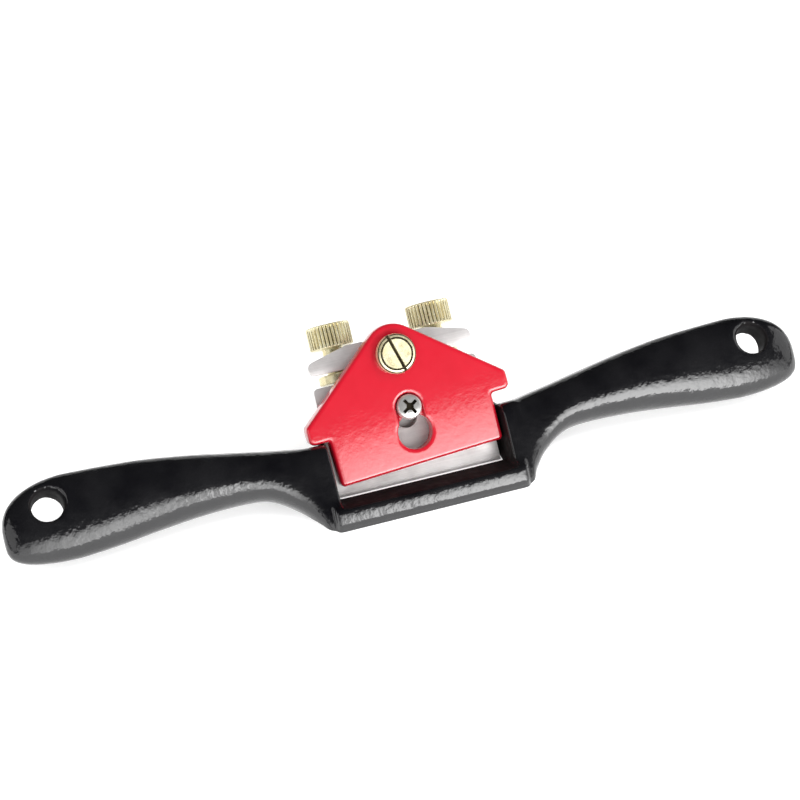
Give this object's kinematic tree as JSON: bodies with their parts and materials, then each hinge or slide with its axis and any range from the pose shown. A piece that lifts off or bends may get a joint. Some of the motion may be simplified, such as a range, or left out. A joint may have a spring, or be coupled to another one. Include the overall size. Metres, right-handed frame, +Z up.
{
  "type": "spokeshave",
  "caption": "Metal spokeshave: enamelled iron body with two handles, flat blade, red lever cap, slotted cap screw and knurled brass depth nuts.",
  "frame": {"origin": "on the sole, on the tool's middle plane, halfway between the foot of the blade's seat and the back of the sole", "axes": "+X along the handles to the right, -Y to the toe and the face of the lever cap, +Z up from the sole"},
  "size_m": [0.249, 0.0594, 0.0404],
  "materials": {
    "black_enamel": "gloss black enamel on cast iron, sole ground bare",
    "red_enamel": "gloss red enamel",
    "ground_steel": "ground and brushed",
    "plated_steel": "bright nickel plate",
    "brass": "turned brass"
  },
  "bodies": {
    "body": {"body_casting": "black_enamel", "left_adjusting_stud": "plated_steel", "right_adjusting_stud": "plated_steel"},
    "blade": {"blade": "ground_steel"},
    "left_nut": {"left_adjusting_nut": "brass"},
    "right_nut": {"right_adjusting_nut": "brass"},
    "lever_cap": {"lever_cap": "red_enamel"},
    "lever_cap_screw": {"lever_cap_screw": "brass"},
    "centre_screw": {"centre_screw": "plated_steel"}
  },
  "joints": [
    {"name": "blade_slide", "type": "slide", "parent": "body", "child": "blade", "axis": [0, 0.7071, 0.7071], "range_m": [-0.001, 0.002]},
    {"name": "left_nut_turn", "type": "hinge", "parent": "blade", "child": "left_nut", "pos_m": [-0.0158, 0.02062, 0.02086], "axis": [0, 0.7071, 0.7071], "range_deg": [-450, 900]},
    {"name": "right_nut_turn", "type": "hinge", "parent": "blade", "child": "right_nut", "pos_m": [0.0158, 0.02062, 0.02086], "axis": [0, 0.7071, 0.7071], "range_deg": [-450, 900]},
    {"name": "cap_slide", "type": "slide", "parent": "body", "child": "lever_cap", "axis": [-0.0593, 0.7059, 0.7059], "range_m": [0, 0.0071]},
    {"name": "cap_screw_turn", "type": "hinge", "parent": "lever_cap", "child": "lever_cap_screw", "pos_m": [-0.00101, 0.01591, 0.03025], "axis": [0.0072, -0.7879, 0.6158], "range_deg": [-90, 720]},
    {"name": "centre_screw_turn", "type": "hinge", "parent": "body", "child": "centre_screw", "pos_m": [0, 0.0069, 0.01534], "axis": [0, -0.7071, 0.7071], "range_deg": [-90, 720]}
  ],
  "couplings": [
    {"joint": "left_nut_turn", "follows": "blade_slide", "rad_per_m": 7854},
    {"joint": "right_nut_turn", "follows": "blade_slide", "rad_per_m": 7854}
  ]
}
